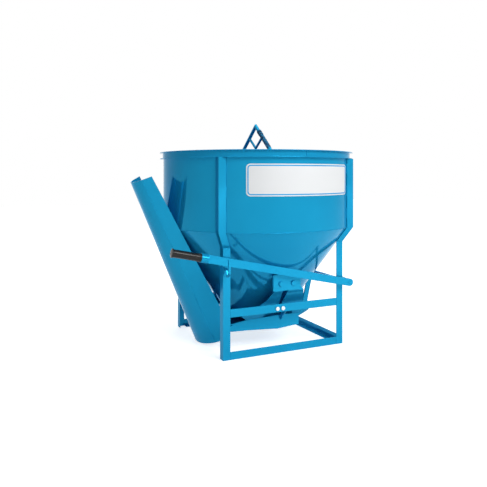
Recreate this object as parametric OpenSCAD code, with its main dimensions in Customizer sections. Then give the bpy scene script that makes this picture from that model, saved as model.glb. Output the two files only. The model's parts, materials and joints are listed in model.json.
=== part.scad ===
// Concrete bucket: drum and cone on a four-leg stand, a geared two-jaw gate under the cone,
// a hand lever in front, a discharge trough and a fold-up chute on the left, a fixed lifting bail.
// X runs right along the front, Y runs to the rear, Z is up, origin at the base centre on the ground.

/* [Drum] */
// Outside radius of the drum
drum_r = 525; // [400:5:650]
// Sheet thickness of the drum
drum_t = 3; // [2:0.5:6]
// Height of the drum
drum_h = 405; // [300:1:500]
// Height of the rim channel
rim_h = 37; // [25:1:60]
// Reach of the rim lips out from the drum
rim_out = 20; // [12:1:35]
// Thickness of the rim channel
rim_t = 4; // [3:0.5:6]

/* [Cone] */
// Half angle of the cone
cone_half = 36; // [34:0.5:38]
// Radius of the cone at the height of the jaw pivots
gate_r = 323.75; // [322:0.25:324]
// Sheet thickness of the cone
cone_t = 4; // [3:0.5:8]
// Height up to which the mouth is trimmed to the jaws
mouth_z = 250; // [200:1:300]

/* [Label panel] */
// Azimuth of the left edge of the panel
label_az0 = -121.2; // [-150:0.1:-95]
// Azimuth of the right edge of the panel
label_az1 = -51.5; // [-85:0.1:-30]
// Height of the lower edge of the panel above the drum seam
label_up = 178; // [100:1:200]
// Height of the panel
label_h = 158; // [80:1:160]
// Thickness of the panel
label_t = 1.5; // [1:0.5:4]
// Corner radius of the panel
label_corner = 18; // [5:1:40]

/* [Stand] */
// Distance of the leg corner from the centre along X and Y
leg_c = 352; // [280:1:430]
// Width of the angle flanges
angle_w = 40; // [30:1:60]
// Thickness of the angle flanges
angle_t = 4; // [3:0.5:8]
// Gap left between an angle toe and the round shell
toe_gap = 0.3; // [0.1:0.1:2]
// Height of the lower edge of the cross bars
bar_z0 = 210; // [150:1:280]
// Height of the cross bars
bar_h = 40; // [25:1:60]
// Thickness of the cross bars
bar_t = 6; // [4:0.5:10]

/* [Hangers] */
// Position of the first hanger bolt along X
bolt_x1 = -50; // [-80:1:-30]
// Position of the second hanger bolt along X
bolt_x2 = -18; // [-28:1:20]
// Height of the hanger bolts
bolt_z = 228; // [215:1:245]
// Radius of the hanger bolt shanks
bolt_r = 6; // [4:0.5:10]
// Width across the flats of the bolt heads and nuts
bolt_af = 19; // [13:0.5:30]
// Height of the bolt heads
bolt_head = 7.5; // [5:0.5:12]
// Height of the nuts
nut_h = 10; // [6:0.5:16]
// Reach of the bolt thread past the nut
bolt_past = 4; // [1:0.5:10]
// Clearance round the bolt shanks
bolt_gap = 0.05; // [0.02:0.01:0.5]
// Left end of the hanger flange
hang_x0 = -66; // [-90:1:-60]
// Right end of the hanger flange
hang_x1 = 40; // [25:1:70]
// Height of the lower edge of the hanger flange
hang_z0 = 212; // [200:1:220]
// Height of the hanger flange
hang_h = 34; // [25:1:45]
// Left face of the hanger arm
arm_x = 10; // [2:1:25]
// Height of the foot of the hanger arm
arm_z0 = 145; // [120:1:160]
// Height of the hanger arm on the trough
arm_h = 26; // [15:1:40]

/* [Gate] */
// Distance of each jaw pivot from the centre plane
pivot_x = 36; // [25:1:60]
// Height of the jaw pivots
pivot_z = 356; // [300:1:420]
// Outside radius of the jaw floors
jaw_r = 243; // [200:1:290]
// Thickness of the jaw floors
jaw_t = 4; // [3:0.5:8]
// Gap between the jaw floor and the cone mouth
jaw_gap = 1; // [0.5:0.5:5]
// Angle of the outer end of the jaw floor
jaw_end = 43; // [35:1:50]
// Thickness of the jaw cheeks
cheek_t = 6; // [4:0.5:10]
// Distance of the inside of the cheek ears from the centre plane
ear_y = 343; // [300:1:400]
// Height where the cheeks bend inward
ear_z = 317; // [290:1:330]
// Height of the top of the cheek ears
ear_top = 372; // [360:1:390]
// Half width of the cheek ears
ear_w = 20; // [15:1:30]
// Half width of the seam between the closed jaws
seam = 1; // [0.5:0.1:3]
// Height where the seam starts to widen
seam_z = 170; // [140:1:220]
// Right jaw, reach of the upper outer corner
right_x1 = 107; // [80:1:140]
// Right jaw, reach of the middle outer corner
right_x2 = 142; // [110:1:170]
// Right jaw, height of the middle outer corner
right_z2 = 235; // [210:1:260]
// Right jaw, reach of the lower outer corner
right_x3 = 190; // [160:1:200]
// Right jaw, height of the lower outer corner
right_z3 = 188; // [175:1:200]
// Left jaw, reach of the upper outer corner
left_x1 = 62; // [58:1:110]
// Left jaw, reach of the middle outer corner
left_x2 = 90; // [75:1:150]
// Left jaw, height of the middle outer corner
left_z2 = 262; // [220:1:290]
// Left jaw, reach of the lower outer corner
left_x3 = 140; // [120:1:190]
// Left jaw, height of the lower outer corner
left_z3 = 215; // [185:1:230]
// Radius of the gate pins
pin_r = 10; // [7:0.5:14]
// Running clearance of the pins
run = 0.06; // [0.02:0.01:0.1]
// Thickness of the gear sectors
gear_t = 10; // [6:0.5:16]
// Radius of the gear hubs
hub_r = 25; // [18:0.5:30]
// Number of teeth in a full gear of this pitch
gear_n = 18; // [16:2:24]
// Angle taken off each tooth flank for backlash
gear_slack = 0.45; // [0.2:0.05:1]
// Pressure angle of the gear teeth
pressure = 20; // [14.5:0.5:25]

/* [Gear boxes] */
// Half width of the gear boxes
box_x = 80; // [70:1:110]
// Height of the lower edge of the gear boxes
box_z0 = 320; // [310:1:330]
// Height of the top of the gear boxes
box_z1 = 404; // [398:1:406]
// Distance of the box front plate from the centre plane
box_y = 361; // [350:1:420]
// Thickness of the box plates
box_t = 5; // [3:0.5:8]
// Depth of the side returns
box_return = 10; // [6:0.5:11]
// Height of the pin heads
pin_head = 8; // [4:0.5:14]
// Radius of the pin heads
pin_head_r = 13; // [11:0.5:20]

/* [Lever] */
// Position of the lever shaft along X
shaft_x = 366; // [320:1:430]
// Height of the lever shaft
shaft_z = 338; // [300:1:380]
// Radius of the lever shaft
shaft_r = 11; // [8:0.5:16]
// Rear end of the shaft along Y
shaft_y1 = 344; // [330:1:400]
// Front face of the lever, distance from the centre plane
lever_y = 402; // [385:1:430]
// Thickness of the lever bar
lever_t = 10; // [6:0.5:16]
// Height of the lever bar
lever_h = 40; // [25:1:60]
// Tilt of the lever bar up to the left
lever_tilt = 12.2; // [5:0.1:14]
// Distance from the shaft to the collar
lever_len = 836; // [700:1:950]
// Length of the collar
collar_len = 36; // [20:1:60]
// Radius of the collar
collar_r = 23; // [21:0.5:30]
// Length of the grip
grip_len = 140; // [100:1:180]
// Radius of the grip
grip_r = 20; // [14:0.5:24]
// Length of the grip end cap
cap_len = 7; // [4:0.5:14]
// Radius of the grip end cap
cap_r = 22; // [16:0.5:26]
// Radius of the boss on the lever end
boss_r = 9; // [6:0.5:14]
// Height of the boss on the lever end
boss_h = 3; // [1:0.5:8]
// Inner end of the bearings, distance from the centre plane
bear_y = 318; // [313:1:325]
// Length of the bearings
bear_len = 24; // [15:1:30]
// Outside radius of the bearings
bear_r = 20; // [16:0.5:26]

/* [Linkage] */
// Position of the crank pin along X
crank_x = 325; // [300:1:350]
// Height of the crank pin
crank_z = 160; // [140:1:200]
// Position of the lug pin along X
lug_x = 152; // [140:1:170]
// Height of the lug pin
lug_z = 104; // [95:1:115]
// Thickness of the crank and the lug
crank_t = 10; // [6:0.5:16]
// Radius of the eyes of the crank
crank_w = 18; // [14:0.5:24]
// Half width of the crank between its eyes
crank_bar = 15; // [11:0.5:17]
// Radius of the eyes of the lug and the link
link_w = 16; // [13:0.5:22]
// Thickness of the drag link
link_t = 8; // [5:0.5:12]
// Side gap of the drag link
link_gap = 0.6; // [0.4:0.1:2]
// Radius of the linkage pins
link_pin_r = 8; // [5:0.5:10]
// Radius of the linkage pin heads
link_head_r = 13; // [12:0.5:18]
// Height of the linkage pin heads
link_head = 4; // [2:0.5:8]
// Half width of the lug and link between their eyes
bar_w = 13; // [9:0.5:15]
// Play of the lug pin in its hole in the link
slot_play = 3.4; // [3:0.1:5]
// Shift of the hole towards the crank pin
slot_shift = 2.4; // [1:0.1:4]

/* [Rope hook] */
// Distance of the rope hook from the collar
hook_back = 113.7; // [60:0.1:160]
// Width of the hook strip
hook_w = 11; // [6:0.5:20]
// Thickness of the hook strip
hook_t = 6; // [4:0.5:10]
// Height of the top of the hook strip over the lever's centre line
hook_up = 14.4; // [10:0.1:18]
// Depth of the bottom of the hook under the lever's centre line
hook_down = 74.6; // [60:0.1:85]
// Depth of the rear tip of the hook under the lever's centre line
hook_tip = 31.6; // [26:0.1:45]
// Depth of the hook from the lever face to the rear tip
hook_in = 40; // [25:1:44]

/* [Trough] */
// Inside half width of the trough
trough_y = 266; // [255:1:290]
// Thickness of the trough sheets
trough_t = 4; // [3:0.5:6]
// Right end of the trough along X
trough_x1 = 125; // [110:1:132]
// Left end of the trough plates along X
trough_x0 = -200; // [-230:1:-180]
// Left end of the guides along X
floor_x0 = -170; // [-195:1:-150]
// Left end of the floor tongue along X
tongue_x = -240; // [-245:1:-200]
// Half width of the floor tongue
tongue_y = 134; // [100:1:138]
// Gap between the trough floor at the centre and the lowest point of the jaws
floor_gap = 9; // [8:0.5:16]
// Rise of the floor per length to the right
floor_slope_share = 0.09; // [0.02:0.01:0.14]
// Height of the top of the plates above the floor at the centre
plate_top = 68; // [60:1:72]
// Height of the lower edge of the plates at the hinge end above the floor
plate_low = 8; // [4:1:12]
// Height of the end lip above the floor at the centre
lip_h = 18; // [15:0.5:20]
// Thickness of the hinge ears
hinge_t = 6; // [4:0.5:10]
// Radius of the hinge ears
hinge_r = 20; // [16:1:26]
// Height of the low guides above the floor at the centre
guide_h = 8; // [5:0.5:9]
// Half width between the guides at their left end
guide_y = 140; // [136:1:150]

/* [Chute] */
// Position of the chute hinge along X
hinge_x = -268; // [-300:1:-250]
// Height of the chute hinge above the trough floor
hinge_up = 30; // [26:1:36]
// Distance of the hinge line inside the drum wall, at the drum seam
chute_tuck = 34.8; // [20:0.1:36]
// Length of the chute
chute_len = 940; // [700:1:1000]
// Distance of the hinge from the chute foot along the chute
chute_u = 80; // [60:1:90]
// Distance of the hinge above the crease between floor and walls
chute_v = 75; // [65:1:80]
// Wall height near the foot
wall_foot = 84; // [80:1:100]
// Length of the slanted cut at the foot of the walls
wall_cut_u = 60; // [20:1:64]
// Wall height left at the very foot
wall_cut_v = 18; // [6:1:60]
// Wall height at the tip
wall_tip = 44; // [35:1:60]
// Outward lean of the walls per height
wall_flare = 0.75; // [0.3:0.05:0.9]
// Outside half width of the floor at the foot
half_foot = 143; // [138:1:155]
// Outside half width of the floor at the tip
half_tip = 90; // [70:1:120]
// Depth of the rounded floor below the crease at the foot
floor_sag = 60; // [30:1:75]
// Sheet thickness of the chute
chute_t = 4; // [3:0.5:6]
// Radius of the spacers on the hinge pins
spacer_r = 14; // [12:0.5:18]
// Gap between spacer and ear
spacer_gap = 0.6; // [0.4:0.1:2]

/* [Lifting bail] */
// Radius of the bail bar
bail_r = 10; // [8:0.5:16]
// Height of the bail apex above the rim
bail_rise = 155; // [120:1:220]
// Depth of the bail feet under the rim
bail_drop = 244; // [180:1:280]
// Depth of the pad faces inside the drum's outside
pad_in = 20; // [15:1:30]
// Half width of the pads
pad_x = 40; // [25:1:60]
// Half height of the pads
pad_h = 40; // [25:1:60]
// Radius of the eye brace bar
brace_r = 7; // [5:0.5:10]
// Depth of the bottom of the eye brace under the apex
brace_low = 127; // [110:1:140]
// Depth of the joint of brace and bail under the apex
brace_top = 66; // [60:1:75]
// Radius of the wrapped sleeve
sleeve_r = 14; // [12:0.5:20]
// Distance of the sleeve from the apex along the leg
sleeve_d = 50; // [40:1:80]
// Length of the sleeve
sleeve_len = 40; // [20:1:45]

/* [Output] */
// Sub-part to build

/* [Hidden] */
$fn = 96;
over = drum_r / 100;
cone_tan = tan(cone_half);
knee_z = pivot_z + (drum_r - gate_r) / cone_tan;
rim_z = knee_z + drum_h;
label_z0 = knee_z + label_up;
label_z1 = label_z0 + label_h;
bail_z = rim_z + bail_rise;
bail_foot_z = rim_z - bail_drop;
pad_y = drum_r - pad_in;
brace_z0 = bail_z - brace_low;
brace_z1 = bail_z - brace_top;
floor_z = pivot_z - jaw_r - floor_gap;
trough_z1 = floor_z + plate_top;
trough_z0 = floor_z + plate_low;
lip_z = floor_z + lip_h;
guide_z = floor_z + guide_h;
hinge_z = floor_z + hinge_up;
chute_lean = atan2(drum_r - chute_tuck + hinge_x, knee_z - hinge_z);
lug_len = sqrt(pow(lug_x - pivot_x, 2) + pow(lug_z - pivot_z, 2));
lug_ang = atan2(lug_z - pivot_z, lug_x - pivot_x);
hook_d = lever_len - hook_back;
hook_x = shaft_x - hook_d * cos(lever_tilt);
hook_mid = shaft_z + hook_d * sin(lever_tilt);
hook_z1 = hook_mid + hook_up;
hook_z0 = hook_mid - hook_down;
hook_tip_z = hook_mid - hook_tip;
cone_ct = cone_t / cos(cone_half);
cone_low = pivot_z - jaw_r;
rim_z0 = rim_z - rim_h;
toe_leg = sqrt(pow(leg_c - angle_w, 2) + pow(leg_c - angle_t, 2));
leg_top = knee_z - (drum_r - toe_leg + toe_gap) / cone_tan;
strap_c = (angle_w + angle_t) / 2
  + sqrt(pow(drum_r + toe_gap, 2) / 2 - pow(angle_w - angle_t, 2) / 4);
leg_in = leg_c - angle_w;
bar_y0 = leg_c - bar_t;
hang_y0 = bar_y0 - bar_t;
cheek_h = cheek_t / cos(cone_half);
ear_out = ear_y + cheek_t;
gear_y1 = ear_out + gear_t;
gear_m = 2 * pivot_x / gear_n;
gear_base = pivot_x * cos(pressure);
gear_tip = pivot_x + 0.8 * gear_m;
gear_root = pivot_x - 1.05 * gear_m;
box_out = box_y + box_t;
shaft_y0 = lever_y - lever_t;
link_y0 = crank_t / 2 + link_gap;
link_y1 = link_y0 + link_t;
link_len = sqrt(pow(crank_x - lug_x, 2) + pow(crank_z - lug_z, 2));
link_ang = atan2(lug_z - crank_z, lug_x - crank_x);
crank_len = sqrt(pow(crank_x - shaft_x, 2) + pow(crank_z - shaft_z, 2));
crank_ang = atan2(crank_z - shaft_z, crank_x - shaft_x);
bail_ang = atan2(pad_y, bail_z - bail_foot_z);
bail_len = pad_y / sin(bail_ang) + 2 * bail_r;
brace_y = (bail_z - brace_z1) * tan(bail_ang);
brace_len = sqrt(pow(brace_y, 2) + pow(brace_z1 - brace_z0, 2));
brace_ang = atan2(brace_y, brace_z1 - brace_z0);
label_half = (drum_r + label_t) * sin((label_az1 - label_az0) / 2);
label_turn = (label_az0 + label_az1) / 2 + 90;
ear_join_z = (trough_z1 + hinge_z + hinge_r) / 2;
chute_lip = chute_t / 2;
chute_step = chute_t / 4;
wall_in = chute_t * sqrt(1 + pow(wall_flare, 2));
wall_u = 2 * chute_u;
floor_apex = chute_len * (half_foot + chute_lip) / (half_foot - half_tip);
floor_side = atan2(half_foot + chute_lip, floor_apex);
floor_dip = atan2(floor_sag, floor_apex);
floor_tilt = atan2(cos(floor_dip) - cos(floor_side), sin(floor_dip));
floor_tan = tan(floor_tilt + floor_dip);
floor_d0 = (floor_apex - chute_len) / 2;
floor_d1 = floor_apex + chute_len / 2;
blue = [0.13, 0.55, 0.77];
zinc = [0.82, 0.84, 0.86];
black = [0.06, 0.06, 0.06];
white = [0.95, 0.95, 0.94];

function cone_r(z) = drum_r - (knee_z - z) * cone_tan;
function floor_top(x) = floor_z + floor_slope_share * x;
function ell(s) = [[s, s], [s - angle_w, s], [s - angle_w, s - angle_t], [s - angle_t, s - angle_t],
  [s - angle_t, s - angle_w], [s, s - angle_w]];
function at_z(p, z) = [for (q = p) [q[0], q[1], z]];
function inv(a) = tan(a) * 180 / PI - a;
function tooth_half(r) = 90 / gear_n - gear_slack + inv(pressure) - inv(acos(min(1, gear_base / r)));
function polar(r, a) = [r * cos(a), r * sin(a)];
function tooth(c) = concat(
  [polar(gear_root, c - tooth_half(gear_base))],
  [for (i = [0 : 5]) let (r = gear_base + (gear_tip - gear_base) * i / 5) polar(r, c - tooth_half(r))],
  [for (i = [0 : 5]) let (r = gear_tip - (gear_tip - gear_base) * i / 5) polar(r, c + tooth_half(r))],
  [polar(gear_root, c + tooth_half(gear_base))]);

module prism_y(pts, y0, y1) {
  translate([0, y1, 0]) rotate([90, 0, 0]) linear_extrude(height = y1 - y0) polygon(pts);
}
module prism_x(pts, x0, x1) {
  translate([x0, 0, 0]) rotate([90, 0, 90]) linear_extrude(height = x1 - x0) polygon(pts);
}
module rod_y(r, x, z, y0, y1) {
  translate([x, y1, z]) rotate([90, 0, 0]) cylinder(r = r, h = y1 - y0);
}
module front() {
  mirror([0, 1, 0]) children();
}
module hex_y(x, z, y0, y1) {
  translate([x, y1, z]) rotate([90, 0, 0]) cylinder(r = bolt_af / 2 / cos(30), h = y1 - y0, $fn = 6);
}

// Drum, cone and rim
module drum_shell() {
  color(blue) difference() {
    translate([0, 0, knee_z]) cylinder(r = drum_r, h = rim_z - knee_z);
    translate([0, 0, knee_z - over]) cylinder(r = drum_r - drum_t, h = rim_z - knee_z + 2 * over);
  }
}
module cone_body() {
  rotate_extrude() polygon([[0, cone_low], [cone_r(cone_low), cone_low], [drum_r, knee_z], [0, knee_z]]);
}
module mouth_cut() {
  difference() {
    translate([0, -drum_r, 0]) cube([drum_r, 2 * drum_r, mouth_z]);
    rod_y(jaw_r - jaw_t - jaw_gap, pivot_x, pivot_z, -drum_r - over, drum_r + over);
  }
}
module hopper_cone() {
  color(blue) difference() {
    rotate_extrude() polygon([[cone_r(cone_low) - cone_ct, cone_low], [cone_r(cone_low), cone_low],
      [drum_r, knee_z], [drum_r - cone_ct, knee_z]]);
    mouth_cut();
    mirror([1, 0, 0]) mouth_cut();
  }
}
module rim_ring() {
  color(blue) rotate_extrude() polygon([[drum_r, rim_z0], [drum_r + rim_out, rim_z0],
    [drum_r + rim_out, rim_z0 + rim_t], [drum_r + rim_t, rim_z0 + rim_t],
    [drum_r + rim_t, rim_z - rim_t], [drum_r + rim_out, rim_z - rim_t],
    [drum_r + rim_out, rim_z], [drum_r, rim_z]]);
}
module label_outline() {
  translate([-label_half, label_z0 + label_corner]) square([2 * label_half, label_h - 2 * label_corner]);
  translate([-label_half + label_corner, label_z0]) square([2 * label_half - 2 * label_corner, label_h]);
  translate([-label_half + label_corner, label_z0 + label_corner]) circle(r = label_corner);
  translate([label_half - label_corner, label_z0 + label_corner]) circle(r = label_corner);
  translate([-label_half + label_corner, label_z1 - label_corner]) circle(r = label_corner);
  translate([label_half - label_corner, label_z1 - label_corner]) circle(r = label_corner);
}
module label_panel() {
  color(white) rotate([0, 0, label_turn]) intersection() {
    rotate([90, 0, 0]) linear_extrude(height = drum_r + over) label_outline();
    difference() {
      translate([0, 0, knee_z]) cylinder(r = drum_r + label_t, h = rim_z - knee_z, $fn = 360);
      translate([0, 0, knee_z - over]) cylinder(r = drum_r + toe_gap, h = rim_z - knee_z + 2 * over, $fn = 360);
    }
  }
}

// Stand
module leg() {
  color(blue) linear_extrude(height = leg_top) polygon(ell(leg_c));
}
module strap() {
  color(blue) polyhedron(
    points = concat(at_z(ell(leg_c), leg_top), at_z(ell(strap_c), knee_z), at_z(ell(strap_c), rim_z0)),
    faces = concat([[0, 1, 2, 3, 4, 5], [17, 16, 15, 14, 13, 12]],
      [for (i = [0 : 5]) [i, i + 6, (i + 1) % 6 + 6, (i + 1) % 6]],
      [for (i = [0 : 5]) [i + 6, i + 12, (i + 1) % 6 + 12, (i + 1) % 6 + 6]]));
}
module leg_front_left() { rotate([0, 0, 180]) leg(); }
module leg_front_right() { rotate([0, 0, 270]) leg(); }
module leg_rear_left() { rotate([0, 0, 90]) leg(); }
module leg_rear_right() { leg(); }
module strap_front_left() { rotate([0, 0, 180]) strap(); }
module strap_front_right() { rotate([0, 0, 270]) strap(); }
module strap_rear_left() { rotate([0, 0, 90]) strap(); }
module strap_rear_right() { strap(); }
module rail() {
  color(blue) prism_x([[leg_c, 0], [leg_c, angle_w], [leg_c - angle_t, angle_w],
    [leg_c - angle_t, angle_t], [leg_in, angle_t], [leg_in, 0]], -leg_in, leg_in);
}
module rail_front() { rotate([0, 0, 180]) rail(); }
module rail_right() { rotate([0, 0, 270]) rail(); }
module rail_rear() { rail(); }
module bolt_holes(y0, y1) {
  for (x = [bolt_x1, bolt_x2])
    rod_y(bolt_r + bolt_gap, x, bolt_z, y0 - over, y1 + over);
}
module cross_bar() {
  color(blue) difference() {
    translate([-leg_in, bar_y0, bar_z0]) cube([2 * leg_in, bar_t, bar_h]);
    bolt_holes(bar_y0, leg_c);
  }
}
module cross_bar_front() { front() cross_bar(); }
module cross_bar_rear() { cross_bar(); }
module hanger() {
  color(blue) union() {
    difference() {
      translate([hang_x0, hang_y0, hang_z0]) cube([hang_x1 - hang_x0, bar_t, hang_h]);
      bolt_holes(hang_y0, bar_y0);
    }
    prism_x([[hang_y0, hang_z0 + hang_h], [hang_y0, hang_z0], [trough_y + trough_t, arm_z0],
      [trough_y + trough_t, arm_z0 + arm_h]], arm_x, arm_x + bar_t);
  }
}
module hanger_front() { front() hanger(); }
module hanger_rear() { hanger(); }
module hanger_bolt(x) {
  hex_y(x, bolt_z, leg_c, leg_c + bolt_head);
  rod_y(bolt_r, x, bolt_z, hang_y0 - nut_h - bolt_past, leg_c);
}
module hanger_bolts() {
  color(zinc) for (x = [bolt_x1, bolt_x2]) {
    hanger_bolt(x);
    front() hanger_bolt(x);
  }
}
module hanger_nut(x) {
  difference() {
    hex_y(x, bolt_z, hang_y0 - nut_h, hang_y0);
    rod_y(bolt_r + bolt_gap, x, bolt_z, hang_y0 - nut_h - over, hang_y0 + over);
  }
}
module hanger_nuts() {
  color(zinc) for (x = [bolt_x1, bolt_x2]) {
    hanger_nut(x);
    front() hanger_nut(x);
  }
}

// Discharge trough
module trough_floor() {
  color(blue) intersection() {
    linear_extrude(height = trough_z1) polygon([[trough_x1, -trough_y], [trough_x1, trough_y],
      [0, trough_y], [floor_x0, guide_y], [tongue_x, tongue_y], [tongue_x, -tongue_y],
      [floor_x0, -guide_y], [0, -trough_y]]);
    prism_y([[tongue_x, floor_top(tongue_x) - trough_t], [trough_x1, floor_top(trough_x1) - trough_t],
      [trough_x1, floor_top(trough_x1)], [tongue_x, floor_top(tongue_x)]], -trough_y - over, trough_y + over);
  }
}
module trough_side() {
  color(blue) difference() {
    union() {
      prism_y([[trough_x0, trough_z0], [0, floor_top(0) - trough_t], [trough_x1, floor_top(trough_x1) - trough_t],
        [trough_x1, trough_z1], [0, trough_z1], [trough_x0, ear_join_z]], trough_y, trough_y + trough_t);
      intersection() {
        linear_extrude(height = guide_z) polygon([[0, trough_y], [0, trough_y + 2 * trough_t],
          [floor_x0, guide_y + 2 * trough_t], [floor_x0, guide_y]]);
        prism_y([[floor_x0, floor_top(floor_x0) - trough_t], [0, floor_top(0) - trough_t], [0, guide_z],
          [floor_x0, guide_z]], 0, trough_y + trough_t);
      }
      prism_y([[trough_x0, trough_z0], [trough_x0, ear_join_z],
        [hinge_x, hinge_z + hinge_r], [hinge_x, hinge_z - hinge_r]], trough_y, trough_y + hinge_t);
      rod_y(hinge_r, hinge_x, hinge_z, trough_y, trough_y + hinge_t);
    }
    rod_y(pin_r + run, hinge_x, hinge_z, trough_y - over, trough_y + hinge_t + over);
  }
}
module trough_side_front() { front() trough_side(); }
module trough_side_rear() { trough_side(); }
module trough_end() {
  color(blue) prism_y([[trough_x1 - trough_t, floor_top(trough_x1 - trough_t)], [trough_x1, floor_top(trough_x1)],
    [trough_x1, lip_z], [trough_x1 - trough_t, lip_z]], -trough_y, trough_y);
}

// Gear boxes and gate pins
module gear_box() {
  color(blue) difference() {
    union() {
      translate([-box_x, box_y, box_z0]) cube([2 * box_x, box_t, box_z1 - box_z0]);
      translate([-box_x, box_y - box_return, box_z0]) cube([box_t, box_return, box_z1 - box_z0]);
      translate([box_x - box_t, box_y - box_return, box_z0]) cube([box_t, box_return, box_z1 - box_z0]);
      translate([-box_x, ear_y - cheek_t, box_z1 - box_t]) cube([2 * box_x, box_y - ear_y + cheek_t, box_t]);
    }
    cone_body();
    for (sx = [-1, 1])
      rod_y(pin_r, sx * pivot_x, pivot_z, box_y - over, box_out + over);
  }
}
module gear_box_front() { front() gear_box(); }
module gear_box_rear() { gear_box(); }
module gate_pin(sx) {
  difference() {
    union() {
      rod_y(pin_r, sx * pivot_x, pivot_z, ear_y - 8 * cheek_t, box_out);
      rod_y(pin_head_r, sx * pivot_x, pivot_z, box_out, box_out + pin_head);
    }
    cone_body();
  }
}
module gate_pins() {
  color(blue) for (sx = [-1, 1]) {
    gate_pin(sx);
    front() gate_pin(sx);
  }
}

// Lever bearings on the right-hand legs
module bearing() {
  color(blue) difference() {
    union() {
      translate([leg_c, bear_y, shaft_z - bear_r]) cube([shaft_x - leg_c, bear_len, 2 * bear_r]);
      rod_y(bear_r, shaft_x, shaft_z, bear_y, bear_y + bear_len);
    }
    rod_y(shaft_r + run, shaft_x, shaft_z, bear_y - over, bear_y + bear_len + over);
    translate([0, 0, shaft_z - 2 * bear_r]) cube([leg_c, drum_r, 4 * bear_r]);
  }
}
module bearing_front() { front() bearing(); }
module bearing_rear() { bearing(); }

// Lifting bail
module bail_leg(r, d0, d1) {
  translate([0, 0, bail_z]) rotate([180 + bail_ang, 0, 0]) translate([0, 0, d0]) cylinder(r = r, h = d1 - d0);
}
module bail_half() {
  intersection() {
    bail_leg(bail_r, -4 * bail_r, bail_len);
    translate([-pad_x, 0, bail_foot_z - 2 * pad_h]) cube([2 * pad_x, pad_y, bail_z - bail_foot_z + 4 * pad_h]);
  }
}
module bail_bar() {
  color(blue) union() {
    bail_half();
    front() bail_half();
  }
}
module bail_pads() {
  color(blue) intersection() {
    translate([0, 0, knee_z]) cylinder(r = drum_r - drum_t, h = rim_z - knee_z, $fn = 360);
    union() {
      translate([-pad_x, pad_y, bail_foot_z - pad_h]) cube([2 * pad_x, drum_r - pad_y, 2 * pad_h]);
      front() translate([-pad_x, pad_y, bail_foot_z - pad_h]) cube([2 * pad_x, drum_r - pad_y, 2 * pad_h]);
    }
  }
}
module brace_half() {
  difference() {
    intersection() {
      translate([0, 0, brace_z0]) rotate([-brace_ang, 0, 0]) translate([0, 0, -4 * brace_r])
        cylinder(r = brace_r, h = brace_len + 4 * brace_r);
      translate([-pad_x, 0, brace_z0 - pad_h]) cube([2 * pad_x, pad_y, bail_z - brace_z0]);
    }
    bail_leg(bail_r, 0, bail_len);
  }
}
module eye_brace() {
  color(blue) union() {
    brace_half();
    front() brace_half();
  }
}
module bail_sleeve() {
  color(black) front() difference() {
    bail_leg(sleeve_r, sleeve_d, sleeve_d + sleeve_len);
    bail_leg(bail_r, sleeve_d - over, sleeve_d + sleeve_len + over);
  }
}

// Lever with its shaft and crank
module along_lever() {
  translate([shaft_x, -lever_y + lever_t / 2, shaft_z]) rotate([0, lever_tilt, 0]) children();
}
module lever_bar() {
  color(blue) along_lever() {
    translate([-lever_len, -lever_t / 2, -lever_h / 2]) cube([lever_len, lever_t, lever_h]);
    translate([0, lever_t / 2, 0]) rotate([90, 0, 0]) cylinder(r = lever_h / 2, h = lever_t);
  }
}
module lever_round(r, d0, d1) {
  along_lever() translate([-d0, 0, 0]) rotate([0, -90, 0]) cylinder(r = r, h = d1 - d0);
}
module lever_collar() {
  color(blue) lever_round(collar_r, lever_len, lever_len + collar_len);
}
module lever_grip() {
  color(black) lever_round(grip_r, lever_len + collar_len, lever_len + collar_len + grip_len);
}
module grip_cap() {
  color(black) lever_round(cap_r, lever_len + collar_len + grip_len, lever_len + collar_len + grip_len + cap_len);
}
module lever_boss() {
  color(blue) rod_y(boss_r, shaft_x, shaft_z, -lever_y - boss_h, -lever_y);
}
module torque_shaft() {
  color(blue) rod_y(shaft_r, shaft_x, shaft_z, -shaft_y0, shaft_y1);
}
module crank_arm() {
  color(blue) difference() {
    union() {
      translate([shaft_x, crank_t / 2, shaft_z]) rotate([0, -crank_ang, 0]) translate([0, -crank_t, -crank_bar])
        cube([crank_len, crank_t, 2 * crank_bar]);
      rod_y(crank_w, shaft_x, shaft_z, -crank_t / 2, crank_t / 2);
      rod_y(crank_w, crank_x, crank_z, -crank_t / 2, crank_t / 2);
    }
    rod_y(shaft_r, shaft_x, shaft_z, -crank_t, crank_t);
  }
}
module crank_pin() {
  color(zinc) {
    rod_y(link_pin_r, crank_x, crank_z, crank_t / 2, link_y1 + link_gap);
    rod_y(link_head_r, crank_x, crank_z, link_y1 + link_gap, link_y1 + link_gap + link_head);
  }
}
module rope_hook() {
  mid_y = -lever_y + hook_in / 2;
  color(blue) prism_x([[-lever_y - hook_t, hook_z1], [-lever_y - hook_t, hook_z0 + 3 * hook_t],
    [mid_y - hook_t / 2, hook_z0], [mid_y + hook_t / 2, hook_z0], [-lever_y + hook_in, hook_tip_z],
    [-lever_y + hook_in - hook_t, hook_tip_z], [mid_y, hook_z0 + 1.5 * hook_t],
    [-lever_y, hook_z0 + 4 * hook_t], [-lever_y, hook_z1]], hook_x - hook_w / 2, hook_x + hook_w / 2);
}

// Drag link between crank and right jaw
module drag_link() {
  color(blue) difference() {
    union() {
      translate([crank_x, link_y0, crank_z]) rotate([0, -link_ang, 0]) translate([0, 0, -bar_w])
        cube([link_len, link_t, 2 * bar_w]);
      rod_y(link_w, crank_x, crank_z, link_y0, link_y1);
      rod_y(link_w, lug_x, lug_z, link_y0, link_y1);
    }
    rod_y(link_pin_r + run, crank_x, crank_z, link_y0 - over, link_y1 + over);
    translate([crank_x, 0, crank_z]) rotate([0, -link_ang, 0])
      rod_y(link_pin_r + slot_play, link_len - slot_shift, 0, link_y0 - over, link_y1 + over);
  }
}

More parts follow.
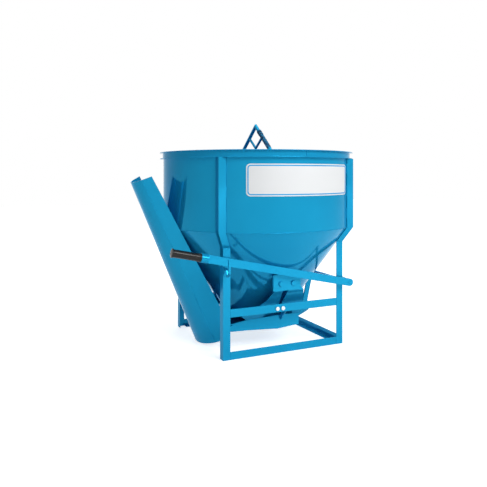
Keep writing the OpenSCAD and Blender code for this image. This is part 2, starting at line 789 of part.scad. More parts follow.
// Jaws, drawn with the pivot on the right
module cheek(x1, x2, z2, x3, z3) {
  end_x = pivot_x + jaw_r * sin(jaw_end);
  end_z = pivot_z - jaw_r * cos(jaw_end);
  color(blue) difference() {
    intersection() {
      prism_y([[seam, cone_low - over], [seam, seam_z], [pivot_x - ear_w, ear_z], [pivot_x - ear_w, ear_top],
        [pivot_x + ear_w, ear_top], [x1, ear_z], [x2, z2], [x3, z3], [end_x, end_z], [end_x, cone_low - over]],
        0, gear_y1);
      rod_y(jaw_r, pivot_x, pivot_z, 0, gear_y1);
      prism_x([[ear_y, ear_top + over], [ear_y, ear_z], [ear_y - (ear_z - cone_low + over) * cone_tan,
        cone_low - over], [ear_y + cheek_h - (ear_z - cone_low + over) * cone_tan, cone_low - over],
        [ear_out, ear_z - (cheek_h - cheek_t) / cone_tan], [ear_out, ear_top + over]], 0, drum_r);
    }
    rod_y(pin_r + run, pivot_x, pivot_z, ear_y - over, ear_out + over);
  }
}
module jaw_floor() {
  reach = 2 * jaw_r;
  color(blue) intersection() {
    difference() {
      rod_y(jaw_r, pivot_x, pivot_z, -ear_y, ear_y);
      rod_y(jaw_r - jaw_t, pivot_x, pivot_z, -ear_y - over, ear_y + over);
    }
    prism_y([[seam, 0], [seam, seam_z], [pivot_x, pivot_z],
      [pivot_x + reach * sin(jaw_end), pivot_z - reach * cos(jaw_end)], [pivot_x + reach, 0]], -ear_y, ear_y);
    prism_x([[ear_y, ear_z], [-ear_y, ear_z], [-ear_y + (ear_z - cone_low + over) * cone_tan, cone_low - over],
      [ear_y - (ear_z - cone_low + over) * cone_tan, cone_low - over]], 0, drum_r);
  }
}
module gear(teeth) {
  difference() {
    union() {
      rod_y(hub_r, 0, 0, ear_out, gear_y1);
      prism_y(concat([[0, 0]], [for (c = teeth) each tooth(c)]), ear_out, gear_y1);
    }
    rod_y(pin_r + run, 0, 0, ear_out - over, gear_y1 + over);
  }
}
module jaw_right_cheek_rear() { cheek(right_x1, right_x2, right_z2, right_x3, right_z3); }
module jaw_right_cheek_front() { front() jaw_right_cheek_rear(); }
module jaw_right_floor() { jaw_floor(); }
module jaw_right_lug() {
  color(blue) translate([pivot_x, 0, pivot_z]) rotate([0, -lug_ang, 0]) prism_y(concat([[jaw_r, -link_w]],
    [for (i = [0 : 24]) let (a = 7.5 * i - 90) [lug_len + link_w * cos(a), link_w * sin(a)]],
    [[jaw_r, link_w]]), -crank_t / 2, crank_t / 2);
}
module jaw_right_pin() {
  color(zinc) {
    rod_y(link_pin_r, lug_x, lug_z, crank_t / 2, link_y1 + link_gap);
    rod_y(link_head_r, lug_x, lug_z, link_y1 + link_gap, link_y1 + link_gap + link_head);
  }
}
module jaw_right_gears() {
  color(blue) translate([pivot_x, 0, pivot_z]) {
    gear([140, 160, 180, 200]);
    front() gear([140, 160, 180, 200]);
  }
}
module jaw_left_cheek_rear() { mirror([1, 0, 0]) cheek(left_x1, left_x2, left_z2, left_x3, left_z3); }
module jaw_left_cheek_front() { front() jaw_left_cheek_rear(); }
module jaw_left_floor() { mirror([1, 0, 0]) jaw_floor(); }
module jaw_left_gears() {
  color(blue) translate([-pivot_x, 0, pivot_z]) {
    gear([-10, 10, 30, 50]);
    front() gear([-10, 10, 30, 50]);
  }
}

// Chute, folded up: rounded floor below the crease, flared flat walls above it
module chute_frame() {
  translate([hinge_x, 0, hinge_z]) rotate([0, -90 - chute_lean, 0]) rotate([180, 0, 0])
    translate([-chute_u, 0, -chute_v]) children();
}
function chute_half(u) = half_foot + (half_tip - half_foot) * u / chute_len;
function wall_end(u, inset, z) = [[u, -chute_half(u) + inset, 0], [u, chute_half(u) - inset, 0],
  [u, chute_half(u) - inset + wall_flare * z, z], [u, -chute_half(u) + inset - wall_flare * z, z]];
module chute_walls(u0, u1, inset, z) {
  polyhedron(points = concat(wall_end(u0, inset, z), wall_end(u1, inset, z)),
    faces = [[0, 1, 2, 3], [7, 6, 5, 4], [0, 4, 5, 1], [1, 5, 6, 2], [2, 6, 7, 3], [3, 7, 4, 0]]);
}
module chute_floor(thin, u0, u1, inset) {
  intersection() {
    translate([floor_apex, 0, 0]) rotate([0, floor_tilt - 90, 0]) translate([0, 0, floor_d0])
      cylinder(r1 = floor_d0 * floor_tan - thin, r2 = floor_d1 * floor_tan - thin, h = floor_d1 - floor_d0);
    translate([0, 0, -2 * floor_sag]) linear_extrude(height = 2 * floor_sag + chute_lip) polygon([
      [u0, -chute_half(u0) + inset], [u1, -chute_half(u1) + inset],
      [u1, chute_half(u1) - inset], [u0, chute_half(u0) - inset]]);
  }
}
module chute_outer() {
  union() {
    intersection() {
      chute_walls(0, chute_len, 0, wall_foot + over);
      prism_y([[0, 0], [chute_len, 0], [chute_len, wall_tip], [wall_u, wall_foot], [wall_cut_u, wall_foot],
        [0, wall_cut_v]],
        -drum_r, drum_r);
    }
    chute_floor(0, 0, chute_len, chute_step);
  }
}
module chute_trough() {
  color(blue) chute_frame() difference() {
    chute_outer();
    chute_walls(-over, chute_len + over, wall_in, wall_foot + 2 * over);
    chute_floor(chute_t, -over, chute_len + over, wall_in + chute_step);
  }
}
module chute_pin() {
  wall_y = chute_half(chute_u) + wall_flare * (chute_v - spacer_r) - chute_t;
  ear_in = trough_y - spacer_gap;
  ear_out_y = trough_y + hinge_t + spacer_gap;
  difference() {
    union() {
      rod_y(spacer_r, hinge_x, hinge_z, wall_y, ear_in);
      rod_y(pin_r, hinge_x, hinge_z, ear_in, ear_out_y);
      rod_y(spacer_r, hinge_x, hinge_z, ear_out_y, trough_y + 2 * hinge_t);
    }
    chute_frame() chute_outer();
  }
}
module chute_pins() {
  color(blue) {
    chute_pin();
    front() chute_pin();
  }
}

drum_shell();
hopper_cone();
rim_ring();
label_panel();
leg_front_left();
leg_front_right();
leg_rear_left();
leg_rear_right();
strap_front_left();
strap_front_right();
strap_rear_left();
strap_rear_right();
rail_front();
rail_right();
rail_rear();
cross_bar_front();
cross_bar_rear();
hanger_front();
hanger_rear();
hanger_bolts();
hanger_nuts();
trough_floor();
trough_side_front();
trough_side_rear();
trough_end();
gear_box_front();
gear_box_rear();
gate_pins();
bearing_front();
bearing_rear();
bail_bar();
bail_pads();
eye_brace();
bail_sleeve();
lever_bar();
lever_collar();
lever_grip();
grip_cap();
lever_boss();
torque_shaft();
crank_arm();
crank_pin();
rope_hook();
drag_link();
jaw_right_cheek_front();
jaw_right_cheek_rear();
jaw_right_floor();
jaw_right_lug();
jaw_right_pin();
jaw_right_gears();
jaw_left_cheek_front();
jaw_left_cheek_rear();
jaw_left_floor();
jaw_left_gears();
chute_trough();
chute_pins();
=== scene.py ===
"""Concrete bucket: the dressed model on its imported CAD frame."""
import json
import math

import bmesh
import bpy
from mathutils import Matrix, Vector

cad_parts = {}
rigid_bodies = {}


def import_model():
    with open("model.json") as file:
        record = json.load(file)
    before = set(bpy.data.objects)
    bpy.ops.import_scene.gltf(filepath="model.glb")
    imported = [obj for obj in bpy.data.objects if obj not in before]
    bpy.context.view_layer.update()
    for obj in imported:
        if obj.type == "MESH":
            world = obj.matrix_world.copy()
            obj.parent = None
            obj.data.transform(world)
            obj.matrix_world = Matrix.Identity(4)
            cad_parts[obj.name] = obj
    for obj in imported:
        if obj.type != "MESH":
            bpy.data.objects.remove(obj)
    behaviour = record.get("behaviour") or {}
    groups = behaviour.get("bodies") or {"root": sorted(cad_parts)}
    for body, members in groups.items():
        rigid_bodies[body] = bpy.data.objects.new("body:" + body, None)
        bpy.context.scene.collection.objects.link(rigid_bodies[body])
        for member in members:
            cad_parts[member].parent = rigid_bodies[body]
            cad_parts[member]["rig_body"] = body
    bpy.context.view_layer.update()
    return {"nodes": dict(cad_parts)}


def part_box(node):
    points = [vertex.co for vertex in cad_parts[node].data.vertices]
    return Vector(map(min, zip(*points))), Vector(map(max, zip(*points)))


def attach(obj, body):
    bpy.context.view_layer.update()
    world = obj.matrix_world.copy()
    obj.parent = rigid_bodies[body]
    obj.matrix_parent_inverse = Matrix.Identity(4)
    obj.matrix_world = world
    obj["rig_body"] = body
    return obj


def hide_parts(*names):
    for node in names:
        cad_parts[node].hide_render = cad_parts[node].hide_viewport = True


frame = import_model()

NODES = frame["nodes"]
BODY = {name: obj["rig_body"] for name, obj in NODES.items()}
MM = 0.001

# Sizes of the frame, in metres and degrees
DRUM_R = 0.525
KNEE_Z = 0.633
RIM_Z0 = 1.001
RIM_Z = 1.038
CONE_TAN = math.tan(math.radians(36))
CONE_FOOT_Z = 0.19
LEG = 0.352
TOE = 0.312
LEG_TOP = 0.5533
STRAP = 0.3930
STRAP_TOE = STRAP - 0.040
STRAP_INSIDE = STRAP - 0.002
LEVER_SHAFT = Vector((0.366, -0.397, 0.338))
LEVER_TILT = math.radians(12.2)
LEVER_DIR = Vector((-math.cos(LEVER_TILT), 0, math.sin(LEVER_TILT)))
BAIL_SLOPE = math.radians(51.54)
BAIL_DIR = Vector((0, -math.sin(BAIL_SLOPE), -math.cos(BAIL_SLOPE)))

# Rounded edges of the carried-over solids
EDGE_MM = {
    "drum_shell": 0.9, "hopper_cone": 1.0, "rim_ring": 1.2, "torque_shaft": 1.2, "gate_pins": 1.6,
    "hanger_nuts": 0.8, "crank_pin": 1.0, "jaw_right_pin": 1.0, "lever_boss": 1.2, "lever_bar": 1.4,
    "lever_collar": 2.5, "bail_bar": 0.8, "eye_brace": 0.8, "chute_trough": 1.0, "chute_pins": 1.4,
    "rope_hook": 1.4, "bail_pads": 2.0, "label_panel": 0.4,
}
PLAIN_EDGE_MM = 1.3
EDGE_SEGMENTS = 2
EDGE_ANGLE = 28
MERGE_DISTANCE = 2e-6
FLAT_ANGLE = 0.05
MODELLED_HERE = {"lever_grip", "grip_cap", "hanger_bolts", "bail_sleeve"}

# Angles in degrees below which the pieces modelled here are smooth
TRIM_CREASE = 50
TURNED_CREASE = 40
BOLT_CREASE = 20

# Weld beads: radii, ripple and places
SEAM_BEAD = 0.0024
RIM_BEAD = 0.0022
STRAP_BEAD = 0.0026
LEG_BEAD = 0.0020
BEAD_STEP = 2.6 * MM
BEAD_SIDES = 8
RIPPLE = 0.14
RINGS_PER_RIPPLE = 3
END_SIZE = 0.35
END_GROWTH = 0.4
KNEE_LIFT = 0.0002
KNEE_RINGS = 1260
SHEET_SEAM_AZ = 92
RIM_SEAM_AZ = -88
RIM_SEAM_OUT = 0.0042
RIM_SEAM_INSET = 0.004
STITCH_Z = (0.68, 0.80, 0.92)
STITCH_LENGTH = 0.055
RAIL_WELD_Z = (0.003, 0.038)
BAR_WELD_Z = (0.212, 0.248)

# Label panel and its keyline
LABEL_R = DRUM_R + 0.0015
LABEL_AZ = (-121.2, -51.5)
LABEL_Z = (0.811, 0.969)
LINE_INSET = 0.0085
LINE_CORNER = 0.014
LINE_WIDTH = 0.0054
LINE_LIFT = 0.0004
LINE_SINK = 0.0002
LINE_STEP = 0.008
CORNER_STEPS = 8

# Lever grip: (distance along, radius), with a ring at its foot and a flange at its end
GRIP_START = 0.872
GRIP_PROFILE = [
    (0.0, 0.0192), (0.0008, 0.0206), (0.0060, 0.0206), (0.0075, 0.0196),
    (0.0300, 0.0193), (0.1100, 0.0193), (0.1385, 0.0197), (0.1398, 0.0212),
    (0.1420, 0.0220), (0.1455, 0.0216), (0.1469, 0.0190), (0.1470, 0.0120),
]

# Bolts through the cross bars; BOLT_FLAT is half the width across flats
BOLT_X = (-0.050, -0.018)
BOLT_Z = 0.228
BOLT_FLAT = 0.0095
BOLT_STEPS = 48
SHANK_R = 0.006
SHANK_END_Y = 0.3265
WASHER_R = 0.0098
WASHER_Y = 0.3528
HEAD_SEAT_Y = 0.352
HEAD_TOP_Y = HEAD_SEAT_Y + 0.0075
CHAMFER_FROM = BOLT_FLAT * 0.96
CHAMFER_SLOPE = 0.577
HEAD_FACE_R = BOLT_FLAT * 0.95

# Tape on the bail: TAPE_BED is just over the bar, and the turns are (distance, radius)
TAPE_BED = 0.0101
TAPE_SIDES = 32
UPPER_RUN = 0.040
UPPER_TURN = [(0.0003, 0.0122), (0.0018, 0.0134), (0.0046, 0.0130)]
LOWER_START = 0.021
LOWER_RUN = 0.126
LOWER_TURN = [(0.0003, 0.0112), (0.0020, 0.0122), (0.0055, 0.0118)]

# Values of the stage, the lamps and the camera
FLOOR_HALF = 14.0
FLOOR_Z = -0.0005
FLOOR_GREY = (0.86, 0.86, 0.86, 1)
FLOOR_GLOW_REACH = (0.6, 3.2)
FLOOR_GLOW = (0.72, 1.0)
WHITE = (1, 1, 1, 1)
SKY_TINT = (0.70, 0.86, 1.0, 1)
SKY_LEVEL = (0.11, 1.0)
# Each lamp's name, place, target, size and watts
LAMPS = [
    ("key", (0.8, -4.0, 3.1), (0, 0, 0.6), (2.8, 2.2), 152),
    ("fill", (-2.6, -2.4, 2.8), (-0.2, -0.2, 0.4), (1.2, 1.2), 10),
    ("top", (0.2, 0.2, 4.2), (0, 0, 0.5), (2.4, 2.4), 38),
    ("rear", (0.9, 4.2, 3.0), (0, 0, 0.6), (2.8, 2.2), 66),
]
CAMERA_PLACE = (-1.422, -2.893, 0.917)
CAMERA_TURN = (math.radians(90), 0, math.radians(-24.92))
CAMERA_LENS = 41.53
CAMERA_SENSOR = 36.0
CAMERA_SHIFT_Y = -0.1419
CAMERA_REACH = 100


# Material nodes

def new_material(name):
    mat = bpy.data.materials.new(name)
    mat.use_nodes = True
    tree = mat.node_tree
    return mat, tree, tree.nodes["Principled BSDF"]


def noise(tree, scale, detail=3.0, rough=0.5):
    coord = tree.nodes.new("ShaderNodeTexCoord")
    tex = tree.nodes.new("ShaderNodeTexNoise")
    tex.inputs["Scale"].default_value = scale
    tex.inputs["Detail"].default_value = detail
    tex.inputs["Roughness"].default_value = rough
    tree.links.new(coord.outputs["Object"], tex.inputs["Vector"])
    return tex.outputs["Fac"]


def ramp(tree, fac, stops):
    """Colours by position; stops is a list of (position, colour)."""
    node = tree.nodes.new("ShaderNodeValToRGB")
    elements = node.color_ramp.elements
    elements[0].position = stops[0][0]
    elements[0].color = (*stops[0][1], 1)
    elements[1].position = stops[-1][0]
    elements[1].color = (*stops[-1][1], 1)
    for position, colour in stops[1:-1]:
        elements.new(position).color = (*colour, 1)
    tree.links.new(fac, node.inputs["Fac"])
    return node.outputs["Color"]


def map_range(tree, value, source, target):
    node = tree.nodes.new("ShaderNodeMapRange")
    node.inputs["From Min"].default_value = source[0]
    node.inputs["From Max"].default_value = source[1]
    node.inputs["To Min"].default_value = target[0]
    node.inputs["To Max"].default_value = target[1]
    tree.links.new(value, node.inputs["Value"])
    return node.outputs["Result"]


def combine(tree, operation, first, second):
    node = tree.nodes.new("ShaderNodeMath")
    node.operation = operation
    tree.links.new(first, node.inputs[0])
    tree.links.new(second, node.inputs[1])
    return node.outputs[0]


def bump(tree, bsdf, height, strength, distance, under):
    """A bump on the shader, laid over an earlier bump where one is given."""
    node = tree.nodes.new("ShaderNodeBump")
    node.inputs["Strength"].default_value = strength
    node.inputs["Distance"].default_value = distance
    tree.links.new(height, node.inputs["Height"])
    if under:
        tree.links.new(under.outputs["Normal"], node.inputs["Normal"])
    tree.links.new(node.outputs["Normal"], bsdf.inputs["Normal"])
    return node


def seen_rays(tree):
    """One on rays that see a surface directly or mirrored, nought on the light that falls on the object."""
    path = tree.nodes.new("ShaderNodeLightPath")
    seen = combine(tree, "MAXIMUM", path.outputs["Is Camera Ray"], path.outputs["Is Glossy Ray"])
    return combine(tree, "MAXIMUM", seen, path.outputs["Is Transmission Ray"])


def surface(name, tone, stops, rough, rough_range, bumps, sockets):
    """A material from noise: tone and rough are noise values, bumps are (noise, strength, distance)."""
    mat, tree, bsdf = new_material(name)
    tree.links.new(ramp(tree, noise(tree, *tone), stops), bsdf.inputs["Base Color"])
    uneven = map_range(tree, noise(tree, *rough), (0.3, 0.7), rough_range)
    tree.links.new(uneven, bsdf.inputs["Roughness"])
    under = None
    for grain, strength, distance in bumps:
        under = bump(tree, bsdf, noise(tree, *grain), strength, distance, under)
    for socket, value in sockets.items():
        bsdf.inputs[socket].default_value = value
    return mat


def paint(name, deep, light, rough_range):
    """Gloss paint on slightly wavy sheet; partly metallic, so that its reflections keep its blue."""
    wave = ((7.0, 1.0), 0.30, 0.004)
    fine = ((90.0, 2.0), 0.02, 0.0005)
    sockets = {
        "Specular IOR Level": 0.06,
        "Specular Tint": (0.30, 0.78, 1.0, 1),
        "Metallic": 0.3,
        "Coat Weight": 0.02,
        "Coat Roughness": 0.10,
    }
    stops = [(0.3, deep), (0.7, light)]
    return surface(name, (2.2, 4.0), stops, (14.0, 5.0), rough_range, [wave, fine], sockets)


# Materials

BLUE = paint("gloss_blue_paint", (0.0085, 0.312, 0.566), (0.0120, 0.350, 0.612), (0.07, 0.11))
ZINC = surface(
    "zinc_plate",
    (180.0, 4.0), [(0.3, (0.62, 0.64, 0.66)), (0.7, (0.86, 0.87, 0.88))],
    (90.0,), (0.28, 0.46),
    [((900.0,), 0.08, 0.0003)],
    {"Metallic": 0.75},
)
RUBBER = surface(
    "black_grip_rubber",
    (60.0, 4.0), [(0.3, (0.006, 0.006, 0.006)), (0.7, (0.016, 0.014, 0.013))],
    (40.0,), (0.14, 0.24),
    [((300.0,), 0.05, 0.0003)],
    {"Specular IOR Level": 0.24},
)
LABEL = surface(
    "label_white",
    (5.0,), [(0.3, (0.850, 0.852, 0.850)), (0.7, (0.862, 0.864, 0.862))],
    (25.0,), (0.30, 0.33),
    [((320.0,), 0.03, 0.0004)],
    {},
)
KEYLINE = paint("keyline_blue", (0.008, 0.325, 0.700), (0.012, 0.365, 0.760), (0.26, 0.36))
TAPE = surface(
    "wrapped_tape",
    (70.0, 3.0, 0.65),
    [(0.38, (0.002, 0.010, 0.018)), (0.48, (0.003, 0.085, 0.200)), (0.58, (0.006, 0.205, 0.400)),
     (0.70, (0.240, 0.450, 0.680))],
    (120.0,), (0.45, 0.7),
    [((500.0,), 0.2, 0.0006)],
    {"Specular IOR Level": 0.2},
)

# Nodes that keep their CAD shape and aren't blue paint: material and slot
LOOK = {
    "hanger_nuts": (ZINC, "zinc"),
    "crank_pin": (ZINC, "zinc"),
    "jaw_right_pin": (ZINC, "zinc"),
    "label_panel": (LABEL, "label_white"),
}


# Mesh helpers

def add_object(name, bm, mat):
    mesh = bpy.data.meshes.new(name)
    bm.to_mesh(mesh)
    bm.free()
    mesh.materials.append(mat)
    obj = bpy.data.objects.new(name, mesh)
    bpy.context.scene.collection.objects.link(obj)
    return obj


def add_piece(name, bm, mat, body, slot, *nodes):
    piece = add_object(name, bm, mat)
    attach(piece, body)
    if nodes:
        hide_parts(*nodes)
    return piece


def smooth_by_angle(bm, degrees):
    limit = math.radians(degrees)
    for face in bm.faces:
        face.smooth = True
    for edge in bm.edges:
        edge.smooth = len(edge.link_faces) == 2 and edge.calc_face_angle(0.0) < limit


def add_modelled(name, bm, crease, mat, body, slot, *nodes):
    """A piece modelled here, smooth below the crease angle."""
    bmesh.ops.recalc_face_normals(bm, faces=bm.faces)
    smooth_by_angle(bm, crease)
    add_piece(name, bm, mat, body, slot, *nodes)


def dress(node, width, mat, slot):
    """The CAD solid with its hard edges rounded."""
    bm = bmesh.new()
    bm.from_mesh(NODES[node].data)
    bmesh.ops.remove_doubles(bm, verts=bm.verts, dist=MERGE_DISTANCE)
    bmesh.ops.dissolve_limit(bm, angle_limit=math.radians(FLAT_ANGLE), verts=bm.verts, edges=bm.edges)
    smooth_by_angle(bm, EDGE_ANGLE)
    piece = add_piece(node + "_finish", bm, mat, BODY[node], slot, node)
    mod = piece.modifiers.new("edges", "BEVEL")
    mod.width = width
    mod.segments = EDGE_SEGMENTS
    mod.limit_method = "ANGLE"
    mod.angle_limit = math.radians(EDGE_ANGLE)
    mod.use_clamp_overlap = True
    mod.harden_normals = True


def across(direction):
    """Two directions at right angles to direction and to each other."""
    t = direction.normalized()
    side = Vector((0, 0, 1)) if abs(t.z) < 0.9 else Vector((1, 0, 0))
    a = t.cross(side).normalized()
    return a, t.cross(a).normalized()


def ring(bm, centre, radius, a, b, sides):
    turns = [k * math.tau / sides for k in range(sides)]
    return [bm.verts.new(centre + radius * (math.cos(t) * a + math.sin(t) * b)) for t in turns]


def skin(bm, rings, closed=False):
    """Faces between neighbouring rings; the end rings are capped, or joined where closed."""
    pairs = list(zip(rings, rings[1:]))
    if closed:
        pairs.append((rings[-1], rings[0]))
    for low, high in pairs:
        for k in range(len(low)):
            m = (k + 1) % len(low)
            bm.faces.new((low[k], low[m], high[m], high[k]))
    if not closed:
        bm.faces.new(list(reversed(rings[0])))
        bm.faces.new(rings[-1])


def tube(bm, points, radius_at, closed=False):
    """A tube of rings along points; radius_at(i) is the radius at ring i."""
    last = len(points) - 1
    rings = []
    for i, point in enumerate(points):
        before = points[i - 1] if closed or i else point
        after = points[(i + 1) % len(points)] if closed or i < last else point
        a, b = across(after - before)
        rings.append(ring(bm, point, radius_at(i), a, b, BEAD_SIDES))
    skin(bm, rings, closed)


def turned(name, start, direction, profile, mat, body, slot, *nodes, sides=48):
    """A turned solid: profile is a list of (distance along, radius)."""
    bm = bmesh.new()
    a, b = across(direction)
    skin(bm, [ring(bm, start + direction * d, r, a, b, sides) for d, r in profile])
    add_modelled(name, bm, TURNED_CREASE, mat, body, slot, *nodes)


def polar(radius, azimuth, z):
    a = math.radians(azimuth)
    return Vector((radius * math.cos(a), radius * math.sin(a), z))


def cone_r(z):
    return DRUM_R - (KNEE_Z - z) * CONE_TAN


# Pieces

def steelwork():
    for node in sorted(NODES):
        if node not in MODELLED_HERE:
            mat, slot = LOOK.get(node, (BLUE, "blue_paint"))
            dress(node, EDGE_MM.get(node, PLAIN_EDGE_MM) * MM, mat, slot)


def ripple(i):
    return 1 + RIPPLE * math.cos(i * math.tau / RINGS_PER_RIPPLE)


def bead(bm, start, end, radius):
    """A rippled weld bead between two points, thinner at its ends."""
    count = max(4, int((end - start).length / BEAD_STEP))
    points = [start.lerp(end, i / count) for i in range(count + 1)]

    def size(i):
        taper = min(1.0, END_SIZE + END_GROWTH * min(i, count - i))
        return radius * taper * ripple(i)

    tube(bm, points, size)


def upright_bead(bm, x, y, span, radius):
    bead(bm, Vector((x, y, span[0])), Vector((x, y, span[1])), radius)


def leg_welds(bm, sx, sy):
    """Stitches along one strap, and the joints of the leg under it."""
    for x, y in ((STRAP_TOE, STRAP_INSIDE), (STRAP_INSIDE, STRAP_TOE)):
        for z in STITCH_Z:
            upright_bead(bm, sx * x, sy * y, (z, z + STITCH_LENGTH), STRAP_BEAD)
    knee = Vector((sx * LEG, sy * LEG, LEG_TOP))
    bead(bm, Vector((sx * TOE, sy * LEG, LEG_TOP)), knee, LEG_BEAD)
    bead(bm, Vector((sx * LEG, sy * TOE, LEG_TOP)), knee, LEG_BEAD)
    upright_bead(bm, sx * TOE, sy * LEG, RAIL_WELD_Z, LEG_BEAD)
    upright_bead(bm, sx * TOE, sy * LEG, BAR_WELD_Z, LEG_BEAD)


def weld_beads():
    bm = bmesh.new()
    knee = [polar(DRUM_R + KNEE_LIFT, i * 360 / KNEE_RINGS, KNEE_Z) for i in range(KNEE_RINGS)]
    tube(bm, knee, lambda i: SEAM_BEAD * ripple(i), closed=True)
    cone_foot = polar(cone_r(CONE_FOOT_Z), SHEET_SEAM_AZ, CONE_FOOT_Z)
    rim_r = DRUM_R + RIM_SEAM_OUT
    rim_low = polar(rim_r, RIM_SEAM_AZ, RIM_Z0 + RIM_SEAM_INSET)
    rim_high = polar(rim_r, RIM_SEAM_AZ, RIM_Z - RIM_SEAM_INSET)
    bead(bm, polar(DRUM_R, SHEET_SEAM_AZ, KNEE_Z), polar(DRUM_R, SHEET_SEAM_AZ, RIM_Z0), SEAM_BEAD)
    bead(bm, cone_foot, polar(cone_r(KNEE_Z), SHEET_SEAM_AZ, KNEE_Z), SEAM_BEAD)
    bead(bm, rim_low, rim_high, RIM_BEAD)
    for sx in (-1, 1):
        for sy in (-1, 1):
            leg_welds(bm, sx, sy)
    for sy in (-1, 1):
        upright_bead(bm, LEG, sy * TOE, RAIL_WELD_Z, LEG_BEAD)
    add_modelled("weld_beads", bm, TRIM_CREASE, BLUE, "frame", "blue_paint")


def keyline_path():
    """The middle of the keyline on the unrolled label: (distance along the drum, height)."""
    half = math.radians((LABEL_AZ[1] - LABEL_AZ[0]) / 2) * LABEL_R - LINE_INSET - LINE_CORNER
    low = LABEL_Z[0] + LINE_INSET + LINE_CORNER
    high = LABEL_Z[1] - LINE_INSET - LINE_CORNER
    corners = []
    for cx, cz, start in ((half, high, 0), (-half, high, 90), (-half, low, 180), (half, low, 270)):
        for i in range(CORNER_STEPS + 1):
            a = math.radians(start + i * 90 / CORNER_STEPS)
            corners.append((cx + LINE_CORNER * math.cos(a), cz + LINE_CORNER * math.sin(a)))
    path = []
    for p, q in zip(corners, corners[1:] + corners[:1]):
        n = max(1, int(abs(q[0] - p[0]) / LINE_STEP))
        path += [(p[0] + (q[0] - p[0]) * k / n, p[1] + (q[1] - p[1]) * k / n) for k in range(n)]
    return path


def keyline():
    """Blue keyline on the bare label panel."""
    bm = bmesh.new()
    middle = math.radians((LABEL_AZ[0] + LABEL_AZ[1]) / 2)
    path = keyline_path()
    outer = []
    inner = []
    for i, (x, z) in enumerate(path):
        before = path[i - 1]
        after = path[(i + 1) % len(path)]
        dx, dz = after[0] - before[0], after[1] - before[1]
        scale = LINE_WIDTH / 2 / math.hypot(dx, dz)
        outer.append((x + dz * scale, z - dx * scale))
        inner.append((x - dz * scale, z + dx * scale))

    def loop(points, r):
        spots = [(middle + x / LABEL_R, z) for x, z in points]
        return [bm.verts.new((r * math.cos(a), r * math.sin(a), z)) for a, z in spots]

    sunk, lifted = LABEL_R - LINE_SINK, LABEL_R + LINE_LIFT
    rows = [loop(outer, sunk), loop(outer, lifted), loop(inner, lifted), loop(inner, sunk)]
    skin(bm, rows, closed=True)
    add_modelled("label_keyline", bm, TRIM_CREASE, KEYLINE, "frame", "blue_paint")


def grip():
    start = LEVER_SHAFT + LEVER_DIR * GRIP_START
    turned("lever_grip_moulded", start, LEVER_DIR, GRIP_PROFILE, RUBBER, "lever", "black_grip",
           "lever_grip", "grip_cap")


def bolts():
    """Zinc bolts with chamfered hexagon heads, built outwards along y."""
    bm = bmesh.new()
    angles = [k * math.tau / BOLT_STEPS for k in range(BOLT_STEPS)]
    hexagon = [BOLT_FLAT / math.cos((t % (math.tau / 6)) - math.tau / 12) for t in angles]

    def circle(radius, y):
        return [(radius, y)] * BOLT_STEPS

    rows = [
        circle(SHANK_R, SHANK_END_Y),
        circle(SHANK_R, HEAD_SEAT_Y),
        circle(WASHER_R, HEAD_SEAT_Y),
        circle(WASHER_R, WASHER_Y),
        [(r, WASHER_Y) for r in hexagon],
        [(r, HEAD_TOP_Y - max(0.0, r - CHAMFER_FROM) * CHAMFER_SLOPE) for r in hexagon],
        circle(HEAD_FACE_R, HEAD_TOP_Y),
    ]
    for sy in (-1, 1):
        for x in BOLT_X:
            rings = []
            for row in rows:
                spots = [(r * math.cos(t), y, r * math.sin(t)) for t, (r, y) in zip(angles, row)]
                rings.append([bm.verts.new((x + dx, sy * y, BOLT_Z + dz)) for dx, y, dz in spots])
            skin(bm, rings)
    add_modelled("hanger_bolts_hex", bm, BOLT_CREASE, ZINC, "frame", "zinc", "hanger_bolts")


def winding(start, run, turn, turns, swell, beat):
    """The profile of a run of tape; swell and beat make its turns uneven."""
    profile = [(start, TAPE_BED)]
    for i in range(turns):
        d = start + run * i / turns
        grow = swell * math.sin(beat * i)
        profile += [(d + along, radius + grow) for along, radius in turn]
    return profile + [(start + run, TAPE_BED)]


def tape():
    """Tape wound round the front leg of the bail."""
    lo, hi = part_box("bail_sleeve")
    mid = (lo + hi) / 2
    upper = winding(-UPPER_RUN / 2, UPPER_RUN, UPPER_TURN, turns=8, swell=0.0008, beat=2.4)
    lower = winding(0.0, LOWER_RUN, LOWER_TURN, turns=20, swell=0.0006, beat=1.9)
    low_start = mid + BAIL_DIR * LOWER_START
    turned("bail_wrap", mid, BAIL_DIR, upper, TAPE, "frame", "sleeve", "bail_sleeve", sides=TAPE_SIDES)
    turned("bail_wrap_low", low_start, BAIL_DIR, lower, TAPE, "frame", "sleeve", sides=TAPE_SIDES)


# Stage, light and camera

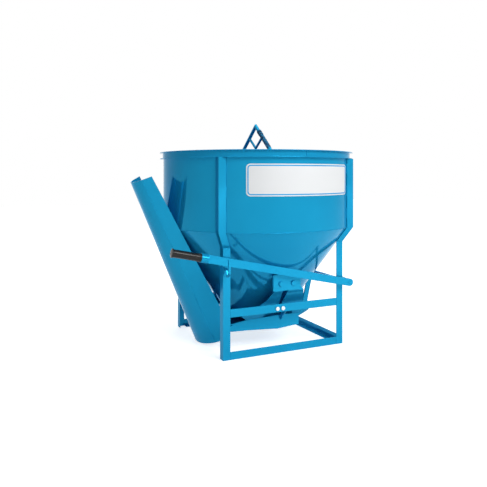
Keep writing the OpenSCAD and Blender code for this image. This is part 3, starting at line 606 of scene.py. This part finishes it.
def stage_floor():
    """A pale floor that shows white around the object and keeps its shadow."""
    mat, tree, bsdf = new_material("stage_floor")
    bsdf.inputs["Base Color"].default_value = FLOOR_GREY
    bsdf.inputs["Roughness"].default_value = 0.9
    bsdf.inputs["Specular IOR Level"].default_value = 0.1
    bsdf.inputs["Emission Color"].default_value = WHITE
    spot = tree.nodes.new("ShaderNodeNewGeometry")
    reach = tree.nodes.new("ShaderNodeVectorMath")
    reach.operation = "LENGTH"
    tree.links.new(spot.outputs["Position"], reach.inputs[0])
    glow = map_range(tree, reach.outputs["Value"], FLOOR_GLOW_REACH, FLOOR_GLOW)
    strength = combine(tree, "MULTIPLY", seen_rays(tree), glow)
    tree.links.new(strength, bsdf.inputs["Emission Strength"])
    bm = bmesh.new()
    corners = ((-1, -1), (1, -1), (1, 1), (-1, 1))
    bm.faces.new([bm.verts.new((x * FLOOR_HALF, y * FLOOR_HALF, FLOOR_Z)) for x, y in corners])
    add_object("stage_floor", bm, mat)


def world_light():
    """A white background to look at, and a dim pale blue light from it on the object."""
    world = bpy.data.worlds.new("studio")
    bpy.context.scene.world = world
    world.use_nodes = True
    tree = world.node_tree
    back = tree.nodes["Background"]
    seen = seen_rays(tree)
    sky = tree.nodes.new("ShaderNodeMix")
    sky.data_type = "RGBA"
    sky.inputs["A"].default_value = SKY_TINT
    sky.inputs["B"].default_value = WHITE
    tree.links.new(seen, sky.inputs["Factor"])
    tree.links.new(sky.outputs["Result"], back.inputs["Color"])
    tree.links.new(map_range(tree, seen, (0.0, 1.0), SKY_LEVEL), back.inputs["Strength"])


def area_lamp(name, place, target, size, watts):
    lamp = bpy.data.lights.new(name, "AREA")
    lamp.shape = "RECTANGLE"
    lamp.size = size[0]
    lamp.size_y = size[1]
    lamp.energy = watts
    obj = bpy.data.objects.new(name, lamp)
    obj.location = place
    obj.rotation_euler = (Vector(target) - Vector(place)).to_track_quat("-Z", "Y").to_euler()
    bpy.context.scene.collection.objects.link(obj)


def add_camera():
    camera = bpy.data.cameras.new("camera")
    camera.lens = CAMERA_LENS
    camera.sensor_width = CAMERA_SENSOR
    camera.sensor_fit = "HORIZONTAL"
    camera.shift_y = CAMERA_SHIFT_Y
    camera.clip_end = CAMERA_REACH
    eye = bpy.data.objects.new("camera", camera)
    eye.location = CAMERA_PLACE
    eye.rotation_euler = CAMERA_TURN
    bpy.context.scene.collection.objects.link(eye)
    bpy.context.scene.camera = eye


steelwork()
weld_beads()
keyline()
grip()
bolts()
tape()
stage_floor()
world_light()
for lamp_values in LAMPS:
    area_lamp(*lamp_values)
add_camera()
bpy.context.scene.view_settings.view_transform = "Standard"
